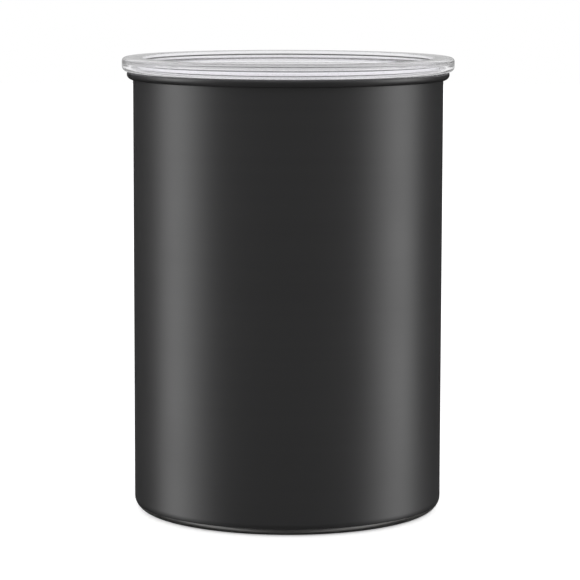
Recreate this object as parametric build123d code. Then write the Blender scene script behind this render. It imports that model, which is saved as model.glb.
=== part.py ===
"""A coffee canister with an air-expelling inner lid.

The canister is a drawn steel can with a rolled rim. A clear outer lid plugs into its mouth.
Inside, a plunger slides down onto the beans: a plate with a wiper seal round its edge and a
valve housing in its middle. Air leaves through a bore in the plate, which a spring holds shut
with a silicone disc. Raising the handle turns two cams that lift the disc off its seat.

All sizes are millimetres. +Z is up and the origin is the middle of the face the canister stands on.
"""

from build123d import *
import math
import os

# Canister
body_diameter = 120.6
wall = 0.8
mouth_height = 171.65
rim_reach = 2.4
rim_height = 3.05
rim_roll_radius = 1.0
rim_foot_radius = 2.0
rim_slot = 0.3
base_corner_radius = 4.7
foot_ring_width = 6.0
base_recess = 1.8
base_slope = 3.0

# Outer lid
lid_overhang = 1.9
lid_seat_gap = 0.05
lid_seat_thickness = 2.4
lid_recess_depth = 3.05
lid_land_width = 8.0
lid_land_thickness = 1.9
lid_skirt_wall = 3.2
lid_channel_radius = 0.5
lid_panel_thickness = 2.05
lid_outer_edge_radius = 1.4
lid_lower_edge_radius = 2.1
lid_inner_edge_radius = 0.6
lid_recess_corner_radius = 1.0
plug_clearance = 0.5
plug_wall = 2.4
plug_depth = 7.5
plug_edge_radius = 0.5
plug_corner_radius = 1.2

# Seal round the outer lid's plug
lid_seal_height = 2.4
lid_seal_depth = 1.3
lid_seal_play = 0.1
lid_seal_rise = 1.9
lid_seal_edge_radius = 0.45
seal_gap = 0.15

# Plunger plate
handle_headroom = 5.0
plate_thickness = 2.5
plate_clearance = 1.6
plate_wall_height = 13.0
plate_wall = 1.8
plate_edge_radius = 0.7
rib_count = 8
rib_height = 3.5
rib_thickness = 1.8
rib_sink = 0.6
floor_gap = 3.0

# Wiper seal round the plate
wiper_depth = 2.6
wiper_height = 6.4
wiper_play = 0.1
wiper_lip_height = 2.2
wiper_lip_edge = 0.8
wiper_lip_taper = 0.4
wiper_web_reach = 0.3

# Valve bore, seat and disc
vent_bore_radius = 5.0
seat_width = 1.6
seat_height = 1.4
seat_gap = 0.05
disc_overlap = 1.0
disc_thickness = 1.8
disc_edge_radius = 0.4

# Valve stem
shoulder_radius = 7.0
shoulder_height = 1.2
neck_radius = 5.0
button_stem_radius = 2.5
button_radius = 3.6
button_height = 1.2
flange_thickness = 1.5
flange_edge_radius = 0.4
pin_radius = 3.0
pin_clearance = 0.2
pin_proud = 0.6
pin_edge_radius = 0.5

# Handle, cams and pivots
wire_diameter = 3.5
handle_end_gap = 11.75
handle_bend_radius = 4.0
handle_corner_radius = 15.0
handle_swing = 90.0
pivot_height = 8.0
wire_end_gap = 0.5
cam_base_radius = 2.75
cam_lift = 2.0
cam_width = 4.0
cam_gap = 0.08
cam_play = 0.2
cam_spiral_steps = 8
clip_inset = 0.6
clip_thickness = 0.8
clip_radius = 2.5
clip_slot_width = 0.9
bush_wall = 1.15
bush_clearance = 0.05
bush_flange_radius = 4.3
bush_flange_thickness = 1.0
leg_gap = 0.3

# Housing round the valve, its lugs and the handle's stops and rests
flange_side_gap = 0.6
boss_radius = 2.6
boss_sink = 1.0
hub_wall = 2.0
lug_width = 11.0
lug_inset = 0.8
lug_reach = 1.2
lug_rise = 5.2
lug_corner_radius = 3.0
stop_gap = 0.3
stop_thickness = 3.0
stop_height = 3.6
stop_edge_radius = 0.8
rest_radius = 2.6
rest_spread = 12.0
rest_gap = 0.15

# Valve spring
spring_height = 6.6
spring_wire = 0.8
spring_turns = 3.75
spring_radius = 9.6
spring_arcs_per_turn = 4

# Hub cap and its screws
cap_thickness = 1.8
cap_edge_radius = 0.8
vent_slot_count = 8
vent_slot_width = 1.6
vent_slot_web = 1.4
vent_slot_length = 3.2
screw_count = 4
screw_turn = 45.0
screw_head_radius = 2.3
screw_head_height = 1.2
screw_shank_radius = 1.1
screw_length = 8.0
screw_hole_clearance = 0.1
screw_tip_gap = 1.5
cross_length = 2.6
cross_width = 0.55
cross_depth = 0.7

# Filter screen under the valve bore
screen_ledge = 3.4
screen_thickness = 0.4
screen_hole_radius = 0.55
screen_hole_pitch = 1.75
screen_ring_width = 1.9
screen_ring_thickness = 0.6
screen_play = 0.05

overrun = 1.0  # how far a cutting shape runs past what it cuts

# Places that follow from the sizes
outer_radius = body_diameter / 2
inner_radius = outer_radius - wall
rim_foot = mouth_height - rim_height
rim_radius = outer_radius + rim_reach
floor_top = base_recess + wall

lid_diameter = 2 * (rim_radius + lid_overhang)
lid_radius = lid_diameter / 2
lid_seat = mouth_height + lid_seat_gap
lid_panel_top = lid_seat + lid_seat_thickness
lid_panel_bottom = lid_panel_top - lid_panel_thickness
lid_top = lid_panel_top + lid_recess_depth
plug_radius = inner_radius - plug_clearance
plug_bottom = lid_seat - plug_depth
lid_seal_bottom = plug_bottom + lid_seal_rise
lid_seal_top = lid_seal_bottom + lid_seal_height

wire_radius = wire_diameter / 2
plate_radius = inner_radius - plate_clearance
plate_inner_radius = plate_radius - wiper_depth - plate_wall
handle_reach = plate_inner_radius - handle_end_gap - wire_radius
plate_bottom = (
    lid_panel_bottom - handle_headroom - wire_radius - handle_reach - pivot_height - plate_thickness
)
plate_top = plate_bottom + plate_thickness
wiper_middle = plate_bottom + plate_wall_height / 2
travel_down = plate_bottom - floor_top - floor_gap

disc_radius = vent_bore_radius + seat_width + disc_overlap
screen_radius = vent_bore_radius + screen_ledge
seat_top = plate_top + seat_height
disc_bottom = seat_top + seat_gap
disc_top = disc_bottom + disc_thickness
pivot_z = plate_top + pivot_height
flange_bottom = pivot_z + cam_base_radius + cam_gap
flange_top = flange_bottom + flange_thickness
hub_top = flange_top + spring_height
cap_top = hub_top + cap_thickness
vent_slot_inner = pin_radius + pin_clearance + vent_slot_web

wire_end = shoulder_radius + wire_end_gap
clip_start = wire_end + clip_inset
cam_start = clip_start + clip_thickness
flange_radius = cam_start + cam_width
boss_circle = flange_radius + flange_side_gap + boss_radius
hub_inner_radius = boss_circle + boss_radius - boss_sink
hub_radius = hub_inner_radius + hub_wall
lug_inner = hub_inner_radius - lug_inset
lug_outer = hub_radius + lug_reach
bush_outer = lug_outer + bush_flange_thickness
leg_x = bush_outer + leg_gap + handle_bend_radius
spring_pitch = (spring_height - spring_wire) / spring_turns


def turned(*corners):
    """A solid of revolution about Z from an outline of (radius, height, corner radius) triples."""
    points = [(radius, height) for radius, height, _ in corners]
    rounds = [corner for _, _, corner in corners]
    face = make_face(FilletPolyline(*points, radius=rounds, close=True))
    return revolve(Plane.XZ * face, Axis.Z)


def flat_face(*corners):
    """A face in the radius and height plane, from the same triples as turned."""
    points = [(radius, height) for radius, height, _ in corners]
    rounds = [corner for _, _, corner in corners]
    return make_face(FilletPolyline(*points, radius=rounds, close=True))


def upright_rod(radius, x, y, bottom, top):
    """A cylinder along Z between two heights."""
    return Pos(x, y, bottom) * extrude(Circle(radius), top - bottom)


def across_plane(x):
    """A plane square to X, whose own axes are Y and Z, at the handle's pivot height."""
    return Plane(origin=(x, 0, pivot_z), x_dir=(0, 1, 0), z_dir=(1, 0, 0))


def cross_rod(radius, start, end):
    """A cylinder along X on the handle's pivot axis."""
    return extrude(across_plane(start) * Circle(radius), end - start)


def block(x_low, x_high, y_low, y_high, z_low, z_high):
    """A box between two corners."""
    middle = ((x_low + x_high) / 2, (y_low + y_high) / 2, (z_low + z_high) / 2)
    return Pos(*middle) * Box(x_high - x_low, y_high - y_low, z_high - z_low)


def both_sides(piece):
    """The piece and its mirror image across the YZ plane."""
    return [piece, mirror(piece, about=Plane.YZ)]


def round_the_hub(piece, count, start=0.0):
    """Copies of a piece spaced evenly round Z."""
    return [Rot(0, 0, start + step * 360 / count) * piece for step in range(count)]


def canister_shell():
    """The drawn can: raised base panel, rounded foot, straight wall and a hollow rolled rim."""
    foot_inner = outer_radius - base_corner_radius - foot_ring_width
    panel_radius = foot_inner - base_slope
    rim_middle = mouth_height - rim_height / 2
    can = flat_face(
        (0, base_recess, 0),
        (panel_radius, base_recess, wall),
        (foot_inner, 0, wall),
        (outer_radius, 0, base_corner_radius),
        (outer_radius, rim_middle, 0),
        (inner_radius, rim_middle, 0),
        (inner_radius, wall, base_corner_radius - wall),
        (foot_inner, wall, wall),
        (panel_radius, floor_top, wall),
        (0, floor_top, 0),
    )
    rim = flat_face(
        (inner_radius, rim_foot, 0),
        (rim_radius, rim_foot, rim_foot_radius),
        (rim_radius, mouth_height, rim_roll_radius),
        (inner_radius, mouth_height, rim_roll_radius),
    )
    hollow = flat_face(
        (outer_radius, rim_foot + wall, 0),
        (rim_radius - wall, rim_foot + wall, rim_foot_radius - wall),
        (rim_radius - wall, mouth_height - wall, rim_roll_radius - wall),
        (outer_radius, mouth_height - wall, rim_roll_radius - wall),
    )
    slot = flat_face(
        (outer_radius, rim_foot - overrun, 0),
        (outer_radius + rim_slot, rim_foot - overrun, 0),
        (outer_radius + rim_slot, rim_foot + wall + rim_slot, 0),
        (outer_radius, rim_foot + wall + rim_slot, 0),
    )
    return revolve(Plane.XZ * (can + rim - hollow - slot), Axis.Z)


def outer_lid():
    """The clear lid: recessed panel, hollow raised rim with a skirt that rests on the can, grooved plug."""
    land_inner = lid_radius - lid_land_width
    land_bottom = lid_top - lid_land_thickness
    skirt_inner = lid_radius - lid_skirt_wall
    groove_radius = plug_radius - lid_seal_depth
    groove_top = lid_seal_top + lid_seal_play
    groove_bottom = lid_seal_bottom - lid_seal_play
    plug_inner = plug_radius - plug_wall
    return turned(
        (0, lid_panel_top, 0),
        (land_inner, lid_panel_top, lid_recess_corner_radius),
        (land_inner, lid_top, lid_inner_edge_radius),
        (lid_radius, lid_top, lid_outer_edge_radius),
        (lid_radius, lid_seat, lid_lower_edge_radius),
        (skirt_inner, lid_seat, 0),
        (skirt_inner, land_bottom, lid_channel_radius),
        (plug_radius, land_bottom, lid_channel_radius),
        (plug_radius, groove_top, 0),
        (groove_radius, groove_top, 0),
        (groove_radius, groove_bottom, 0),
        (plug_radius, groove_bottom, 0),
        (plug_radius, plug_bottom, plug_edge_radius),
        (plug_inner, plug_bottom, plug_edge_radius),
        (plug_inner, lid_panel_bottom, plug_corner_radius),
        (0, lid_panel_bottom, 0),
    )


def outer_lid_seal():
    """The clear silicone ring in the plug's groove, just short of the can's wall."""
    inner = plug_radius - lid_seal_depth
    lip = inner_radius - seal_gap
    return turned(
        (inner, lid_seal_bottom, 0),
        (lip, lid_seal_bottom, lid_seal_edge_radius),
        (lip, lid_seal_top, lid_seal_edge_radius),
        (inner, lid_seal_top, 0),
    )


def plate_dish():
    """The plate's floor and its upright wall, with the groove that holds the wiper seal."""
    groove_radius = plate_radius - wiper_depth
    groove_top = wiper_middle + wiper_height / 2 + wiper_play
    groove_bottom = wiper_middle - wiper_height / 2 - wiper_play
    wall_top = plate_bottom + plate_wall_height
    return turned(
        (0, plate_bottom, 0),
        (plate_radius, plate_bottom, plate_edge_radius),
        (plate_radius, groove_bottom, 0),
        (groove_radius, groove_bottom, 0),
        (groove_radius, groove_top, 0),
        (plate_radius, groove_top, 0),
        (plate_radius, wall_top, plate_edge_radius),
        (plate_inner_radius, wall_top, plate_edge_radius),
        (plate_inner_radius, plate_top, plate_edge_radius),
        (0, plate_top, 0),
    )


def plate_ribs():
    """Stiffening ribs from the valve housing out to the plate's wall."""
    rib = block(
        hub_radius,
        plate_inner_radius + rib_sink,
        -rib_thickness / 2,
        rib_thickness / 2,
        plate_top - rib_sink,
        plate_top + rib_height,
    )
    return round_the_hub(rib, rib_count, 180 / rib_count)


def hub_lug():
    """The flat-sided lug on the +X side that carries a pivot bush."""
    lug = extrude(
        across_plane(lug_inner)
        * make_face(
            FilletPolyline(
                (-lug_width / 2, -pivot_height),
                (lug_width / 2, -pivot_height),
                (lug_width / 2, lug_rise),
                (-lug_width / 2, lug_rise),
                radius=[0, 0, lug_corner_radius, lug_corner_radius],
                close=True,
            )
        ),
        lug_outer - lug_inner,
    )
    return lug


def handle_stop():
    """The block behind the handle's leg that stops it upright."""
    near = wire_radius + stop_gap
    bottom = pivot_z + bush_flange_radius + stop_gap
    face = Pos(0, 0, bottom) * make_face(
        FilletPolyline(
            (hub_inner_radius + rib_sink, near),
            (leg_x + wire_radius, near),
            (leg_x + wire_radius, near + stop_thickness),
            (hub_inner_radius + rib_sink, near + stop_thickness),
            radius=[0, stop_edge_radius, stop_edge_radius, 0],
            close=True,
        )
    )
    return extrude(face, stop_height)


def screw_boss():
    """A post inside the housing that takes one cap screw."""
    return upright_rod(boss_radius, boss_circle, 0, plate_top, hub_top)


def valve_housing():
    """The round housing welded to the plate, with its lugs, handle stops and screw bosses."""
    housing = turned(
        (hub_inner_radius, plate_top, 0),
        (hub_radius, plate_top, 0),
        (hub_radius, hub_top, 0),
        (hub_inner_radius, hub_top, 0),
    )
    housing += both_sides(hub_lug()) + both_sides(handle_stop())
    housing += round_the_hub(screw_boss(), screw_count, screw_turn)
    bush_hole = cross_rod(wire_radius + bush_clearance + bush_wall, lug_inner - overrun, lug_outer + overrun)
    pilot_bottom = cap_top - screw_length - screw_tip_gap
    pilot = upright_rod(screw_shank_radius, boss_circle, 0, pilot_bottom, hub_top + overrun)
    return housing - both_sides(bush_hole) - round_the_hub(pilot, screw_count, screw_turn)


def plunger_plate():
    """The moulded plate with its wall, ribs, valve seat and handle rests."""
    seat = upright_rod(vent_bore_radius + seat_width, 0, 0, plate_top - rib_sink, seat_top)
    rest_top = pivot_z - wire_radius - rest_gap
    rest = upright_rod(rest_radius, rest_spread, -handle_reach, plate_top - rib_sink, rest_top)
    plate = plate_dish() + seat + plate_ribs() + both_sides(rest)
    screen_top = plate_bottom + screen_thickness + screen_ring_thickness
    plate -= upright_rod(vent_bore_radius, 0, 0, plate_bottom - overrun, seat_top + overrun)
    return plate - upright_rod(screen_radius + screen_play, 0, 0, plate_bottom - overrun, screen_top)


def wiper_seal():
    """The silicone ring in the plate's groove, with two lips that wipe the can's wall."""
    inner = plate_radius - wiper_depth
    lip = inner_radius - seal_gap
    web = plate_radius + wiper_web_reach
    half = wiper_height / 2
    upper = [
        (inner, half, 0),
        (plate_radius, half, 0),
        (lip, half - wiper_lip_taper, 0),
        (lip, half - wiper_lip_taper - wiper_lip_edge, 0),
        (web, half - wiper_lip_height, 0),
    ]
    lower = [(radius, -height, corner) for radius, height, corner in reversed(upper)]
    return Pos(0, 0, wiper_middle) * turned(*upper, *lower)


def hub_cap():
    """The cap over the housing: stem hole, vent slots and countersunk screw holes."""
    cap = turned(
        (pin_radius + pin_clearance, hub_top, 0),
        (hub_radius, hub_top, 0),
        (hub_radius, cap_top, cap_edge_radius),
        (pin_radius + pin_clearance, cap_top, 0),
    )
    slot_middle = vent_slot_inner + vent_slot_length / 2
    slot_face = SlotOverall(vent_slot_length, vent_slot_width)
    slot = Pos(slot_middle, 0, hub_top - overrun) * extrude(slot_face, cap_thickness + 2 * overrun)
    hole = Pos(boss_circle, 0, 0) * turned(
        (0, hub_top - overrun, 0),
        (screw_shank_radius + screw_hole_clearance, hub_top - overrun, 0),
        (screw_shank_radius + screw_hole_clearance, cap_top - screw_head_height, 0),
        (screw_head_radius + screw_hole_clearance, cap_top, 0),
        (screw_head_radius + screw_hole_clearance, cap_top + overrun, 0),
        (0, cap_top + overrun, 0),
    )
    cap -= round_the_hub(slot, vent_slot_count)
    cap -= round_the_hub(hole, screw_count, screw_turn)
    return cap


def hub_screws():
    """Countersunk self-tapping screws with a cross recess, one for each boss."""
    screw = turned(
        (0, cap_top - screw_length, 0),
        (screw_shank_radius, cap_top - screw_length + screw_shank_radius, 0),
        (screw_shank_radius, cap_top - screw_head_height, 0),
        (screw_head_radius, cap_top, 0),
        (0, cap_top, 0),
    )
    for turn in (0, 90):
        arm = Box(cross_length, cross_width, 2 * cross_depth)
        screw -= Pos(0, 0, cap_top) * Rot(0, 0, turn) * arm
    return round_the_hub(Pos(boss_circle, 0, 0) * screw, screw_count, screw_turn)


def valve_stem():
    """The stem: guide pin, flange that the cams lift, neck, and the button that holds the disc."""
    return turned(
        (0, disc_bottom - button_height, 0),
        (button_radius, disc_bottom - button_height, flange_edge_radius),
        (button_radius, disc_bottom, 0),
        (button_stem_radius, disc_bottom, 0),
        (button_stem_radius, disc_top, 0),
        (shoulder_radius, disc_top, 0),
        (shoulder_radius, disc_top + shoulder_height, flange_edge_radius),
        (neck_radius, disc_top + shoulder_height, 0),
        (neck_radius, flange_bottom, 0),
        (flange_radius, flange_bottom, flange_edge_radius),
        (flange_radius, flange_top, flange_edge_radius),
        (pin_radius, flange_top, flange_edge_radius),
        (pin_radius, cap_top + pin_proud, pin_edge_radius),
        (0, cap_top + pin_proud, 0),
    )


def valve_disc():
    """The silicone disc that shuts the bore, stretched over the stem's button."""
    return turned(
        (button_stem_radius, disc_bottom, 0),
        (disc_radius, disc_bottom, disc_edge_radius),
        (disc_radius, disc_top, disc_edge_radius),
        (button_stem_radius, disc_top, 0),
    )


def spring_point(turn):
    """A point on the spring wire's centre line, and its direction there, after so many turns."""
    angle = 2 * math.pi * turn
    radial = Vector(math.cos(angle), math.sin(angle), 0)
    place = radial * spring_radius + Vector(0, 0, flange_top + spring_wire / 2 + spring_pitch * turn)
    along = Vector(-math.sin(angle), math.cos(angle), 0) * spring_radius
    along += Vector(0, 0, spring_pitch / (2 * math.pi))
    return place, along.normalized()


def biarc(start, start_way, end, end_way):
    """Two arcs that join two points, tangent to the given directions and to each other."""
    gap = end - start
    both = start_way + end_way
    square = 2 * (start_way.dot(end_way) - 1)
    linear = -2 * gap.dot(both)
    constant = gap.dot(gap)
    reach = (-linear - math.sqrt(linear**2 - 4 * square * constant)) / (2 * square)
    reach = max(reach, (-linear + math.sqrt(linear**2 - 4 * square * constant)) / (2 * square))
    first_knee = start + start_way * reach
    second_knee = end - end_way * reach
    middle = (first_knee + second_knee) / 2
    return [
        Edge.make_tangent_arc(start, start_way, middle),
        Edge.make_tangent_arc(middle, (second_knee - first_knee).normalized(), end),
    ]


def valve_spring():
    """The compression spring between the stem's flange and the cap, as one coiled wire."""
    steps = round(spring_turns * spring_arcs_per_turn)
    knots = [spring_point(spring_turns * step / steps) for step in range(steps + 1)]
    edges = []
    for (start, start_way), (end, end_way) in zip(knots, knots[1:]):
        edges += biarc(start, start_way, end, end_way)
    path = Wire(edges)
    section = Plane(origin=knots[0][0], z_dir=knots[0][1]) * Circle(spring_wire / 2)
    samples = 24
    last = steps * samples
    points = [spring_point(spring_turns * step / last)[0] for step in range(last + 1)]
    skip = spring_arcs_per_turn * samples // 2
    least = min(
        (first - second).length
        for place, first in enumerate(points)
        for second in points[place + skip :]
    )
    print("spring: turns", spring_turns, "least gap to itself", round(least - spring_wire, 2))
    return sweep(section, path)


def handle_bail():
    """The wire handle, folded flat towards -Y, with its ends turned in along the pivot axis."""
    path = Pos(0, 0, pivot_z) * FilletPolyline(
        (wire_end, 0),
        (leg_x, 0),
        (leg_x, -handle_reach),
        (-leg_x, -handle_reach),
        (-leg_x, 0),
        (-wire_end, 0),
        radius=[handle_bend_radius, handle_corner_radius, handle_corner_radius, handle_bend_radius],
    )
    return sweep(across_plane(wire_end) * Circle(wire_radius), path)


def cam_outline():
    """The cam in Y and Z about the pivot: it lifts a flat follower in step with the handle's angle."""
    rate = cam_lift / math.radians(handle_swing)
    nose = cam_base_radius + cam_lift
    heel = cam_base_radius - rate

    def spiral(angle):
        support = nose - rate * angle
        return (
            -support * math.cos(angle) - rate * math.sin(angle),
            support * math.sin(angle) - rate * math.cos(angle),
        )

    quarter = math.pi / 2
    points = [spiral(quarter * step / cam_spiral_steps) for step in range(cam_spiral_steps + 1)]
    edges = [
        Spline(*points, tangents=[(0, 1), (1, 0)]),
        Line(points[-1], (0, cam_base_radius)),
        ThreePointArc((0, cam_base_radius), (cam_base_radius, 0), (0, -cam_base_radius)),
        Line((0, -cam_base_radius), (heel - nose, -cam_base_radius)),
        CenterArc((heel - nose, -rate), heel, 270, -90),
    ]
    return make_face(edges)


def handle_cam():
    """The cam on the +X end of the wire, with a sleeve that keeps it clear of the lug."""
    cam = extrude(across_plane(cam_start) * cam_outline(), cam_width)
    cam += cross_rod(cam_base_radius, cam_start, lug_inner - cam_play)
    return cam - cross_rod(wire_radius, cam_start - overrun, lug_inner + overrun)


def cam_clip():
    """The push-on clip that keeps a cam on the wire's end."""
    clip = cross_rod(clip_radius, clip_start, clip_start + clip_thickness)
    clip -= cross_rod(wire_radius, clip_start - overrun, clip_start + clip_thickness + overrun)
    return clip - block(
        clip_start - overrun,
        clip_start + clip_thickness + overrun,
        -clip_slot_width / 2,
        clip_slot_width / 2,
        pivot_z - clip_radius - overrun,
        pivot_z,
    )


def pivot_bush():
    """The flanged bush in the +X lug, in which the handle's wire turns."""
    bush = cross_rod(wire_radius + bush_clearance + bush_wall, lug_inner, lug_outer)
    bush += cross_rod(bush_flange_radius, lug_outer, bush_outer)
    return bush - cross_rod(wire_radius + bush_clearance, lug_inner - overrun, bush_outer + overrun)


def filter_screen():
    """The perforated steel disc under the valve bore that keeps grounds out of the valve."""
    top = plate_bottom + screen_thickness + screen_ring_thickness
    disc = upright_rod(screen_radius, 0, 0, top - screen_thickness, top)
    reach = vent_bore_radius - screen_hole_radius
    rows = math.floor(reach / screen_hole_pitch) + 1
    holes = []
    for row in range(-rows, rows + 1):
        for column in range(-rows, rows + 1):
            x = screen_hole_pitch * (column + row / 2)
            y = screen_hole_pitch * row * math.sqrt(3) / 2
            if math.hypot(x, y) <= reach:
                holes.append(upright_rod(screen_hole_radius, x, y, top - screen_thickness - overrun, top + overrun))
    return disc - holes


def filter_ring():
    """The ring that snaps in under the screen."""
    bottom = plate_bottom
    return turned(
        (screen_radius - screen_ring_width, bottom, 0),
        (screen_radius, bottom, 0),
        (screen_radius, bottom + screen_ring_thickness, 0),
        (screen_radius - screen_ring_width, bottom + screen_ring_thickness, 0),
    )


def main():
    pieces = {
        "canister_shell": canister_shell(),
        "outer_lid": outer_lid(),
        "outer_lid_seal": outer_lid_seal(),
        "plunger_plate": plunger_plate(),
        "wiper_seal": wiper_seal(),
        "valve_housing": valve_housing(),
        "hub_cap": hub_cap(),
        "valve_stem": valve_stem(),
        "valve_disc": valve_disc(),
        "valve_spring": valve_spring(),
        "handle_bail": handle_bail(),
        "filter_screen": filter_screen(),
        "filter_ring": filter_ring(),
    }
    pairs = {"cam": handle_cam(), "cam_clip": cam_clip(), "pivot_bush": pivot_bush()}
    for name, piece in pairs.items():
        pieces[f"right_{name}"], pieces[f"left_{name}"] = both_sides(piece)
    for number, screw in enumerate(hub_screws(), start=1):
        pieces[f"hub_screw_{number}"] = screw
    os.makedirs("parts", exist_ok=True)
    for name, piece in pieces.items():
        export_step(piece, f"parts/{name}.step")
    print("plunger travel down", round(travel_down, 2))


if __name__ == "__main__":
    main()
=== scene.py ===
"""Looks of a coffee canister with an air-expelling inner lid, laid out as a Blender add-on.

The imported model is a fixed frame. Each piece made here stands for one or more of its nodes and rides on
their body. Lengths are metres, +Z is up, and the canister stands on z = 0 with its axis on Z.
"""

import math

import bmesh
import bpy
from mathutils import Matrix, Vector


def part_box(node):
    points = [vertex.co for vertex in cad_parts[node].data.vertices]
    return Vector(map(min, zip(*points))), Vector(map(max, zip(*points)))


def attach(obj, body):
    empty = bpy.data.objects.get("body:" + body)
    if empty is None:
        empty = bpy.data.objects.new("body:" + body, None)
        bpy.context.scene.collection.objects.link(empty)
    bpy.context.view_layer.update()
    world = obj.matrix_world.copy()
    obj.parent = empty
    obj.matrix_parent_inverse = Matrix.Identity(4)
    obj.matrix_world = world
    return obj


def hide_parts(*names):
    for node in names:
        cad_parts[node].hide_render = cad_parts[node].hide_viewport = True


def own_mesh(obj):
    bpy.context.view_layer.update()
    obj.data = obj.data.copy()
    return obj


bl_info = {
    "name": "Coffee Canister",
    "version": (1, 0, 0),
    "blender": (4, 5, 0),
    "location": "View3D > Sidebar > Canister",
    "description": "Builds the pieces, finishes and stage of a coffee canister round its packed frame",
    "category": "Object",
}

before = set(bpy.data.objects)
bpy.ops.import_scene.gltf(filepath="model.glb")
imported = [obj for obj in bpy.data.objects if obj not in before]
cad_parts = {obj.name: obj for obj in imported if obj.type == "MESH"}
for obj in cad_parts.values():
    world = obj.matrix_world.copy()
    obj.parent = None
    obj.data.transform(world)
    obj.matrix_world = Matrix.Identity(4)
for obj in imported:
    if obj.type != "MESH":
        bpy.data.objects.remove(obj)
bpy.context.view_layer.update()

MM = 0.001
WHITE = (1.0, 1.0, 1.0, 1.0)

# Meshes: points closer than MERGE_DISTANCE or WELD_DISTANCE become one, faces within FLAT_ANGLE become one
# face, edges over BEVEL_ANGLE are bevelled, and edges over SHARP_ANGLE are drawn sharp.
MERGE_DISTANCE = 2e-7
WELD_DISTANCE = 1e-6
FLAT_ANGLE = math.radians(1)
BEVEL_ANGLE = math.radians(35)
SHARP_ANGLE = math.radians(28)

# Outlines: the least corner radius, how far beyond an arc its support point lies, the room that two such points
# need, and the steps in a quarter turn.
SMALLEST_RADIUS = 0.12 * MM
SUPPORT = 0.08 * MM
SUPPORT_ROOM = 4 * SUPPORT
ARC_STEPS = 8
LID_ARC_STEPS = 10
HANDLE_ARC_STEPS = 20
HOLE_SIDES = 24
DISC_SIDES = 96
SPRING_STEPS = 360
SPRING_SIDES = 20

# Finishes: the spans of a noise that are stretched to a mask or a change in shine, the scale of broad bands in
# brushed steel, how sharply worn edges stand out, how much paler rubbed plastic gets, and the colour of dust.
WHOLE_SPAN = (0.0, 1.0)
NOISE_SPAN = (0.3, 0.7)
PATCH_SPAN = (0.35, 0.65)
WEAR_SPAN = (0.38, 0.62)
DUST_SPAN = (0.5, 0.75)
BAND_SCALE = 0.07
EDGE_CONTRAST = 8.0
RUBBED_PALER = 0.3
DUST_COLOUR = (0.35, 0.33, 0.3)

# The room: where its parts begin and end, as turns from the front or as rises from level, where straight up
# is 1.
BOX_FOOT = (-0.55, -0.2)
CEILING_EDGE = (0.5, 0.9)
BEHIND = (math.radians(145), math.radians(155))
STRIP_BAND = (0.45, 0.55, 0.82, 0.9)
SCREEN_BAND = (0.1, 0.25, 0.62, 0.72)
GROUND_EDGE = (-0.03, -0.01)
HORIZON_EDGE = (0.06, 0.08)

# The camera's sensor is 36 mm wide, and light needs many bounces to get through the clear lid's walls.
SENSOR_WIDTH = 36.0
BOUNCES = 32

lid_low, lid_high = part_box("outer_lid")
seal_low, seal_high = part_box("outer_lid_seal")
wiper_low, wiper_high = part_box("wiper_seal")
stem_low, stem_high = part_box("valve_stem")
disc_low, disc_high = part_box("valve_disc")
spring_low, spring_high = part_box("valve_spring")
bail_low, bail_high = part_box("handle_bail")
screen_low, screen_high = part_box("filter_screen")


def length(name, description, default):
    """A length property in metres."""
    return bpy.props.FloatProperty(
        name=name, description=description, default=default, min=0.0, precision=5, unit="LENGTH"
    )


def factor(name, description, default):
    """A property between 0 and 1."""
    return bpy.props.FloatProperty(
        name=name, description=description, default=default, min=0.0, max=1.0, subtype="FACTOR"
    )


def angle(name, description, default):
    """An angle property, given in degrees and kept in radians."""
    return bpy.props.FloatProperty(
        name=name, description=description, default=math.radians(default), subtype="ANGLE"
    )


def amount(name, description, default):
    """A plain number."""
    return bpy.props.FloatProperty(name=name, description=description, default=default, precision=4)


def count(name, description, default):
    """A whole number of one or more."""
    return bpy.props.IntProperty(name=name, description=description, default=default, min=1)


def colour(name, description, default):
    """A linear colour."""
    return bpy.props.FloatVectorProperty(
        name=name, description=description, default=default, size=3, min=0.0, max=1.0, subtype="COLOR"
    )


class CanisterShellSizes(bpy.types.PropertyGroup):
    """Sizes of the steel can."""

    segments: count("Segments", "Faces round the can", 256)
    rim_radius: length("Rim radius", "Outside radius of the rolled rim", 62.7 * MM)
    mouth_height: length("Mouth height", "Height of the can's mouth", 171.65 * MM)
    wall: length("Wall", "Thickness of the steel", 0.8 * MM)
    rim_reach: length("Rim reach", "How far the rim stands out from the body", 2.4 * MM)
    rim_height: length("Rim height", "Height of the rolled rim", 3.05 * MM)
    rim_roll_radius: length("Rim roll radius", "Radius over the top of the rim", 1.0 * MM)
    rim_foot_radius: length("Rim foot radius", "Radius under the rim", 2.0 * MM)
    rim_slot: length("Rim slot", "Gap between the curled edge and the body", 0.3 * MM)
    base_corner_radius: length("Base corner radius", "Outside radius at the foot", 4.7 * MM)
    foot_ring_width: length("Foot ring width", "Width of the flat ring it stands on", 6.0 * MM)
    base_recess: length("Base recess", "How far the middle of the base is raised", 1.8 * MM)
    base_slope: length("Base slope", "Width of the slope up to the raised middle", 3.0 * MM)


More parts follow.
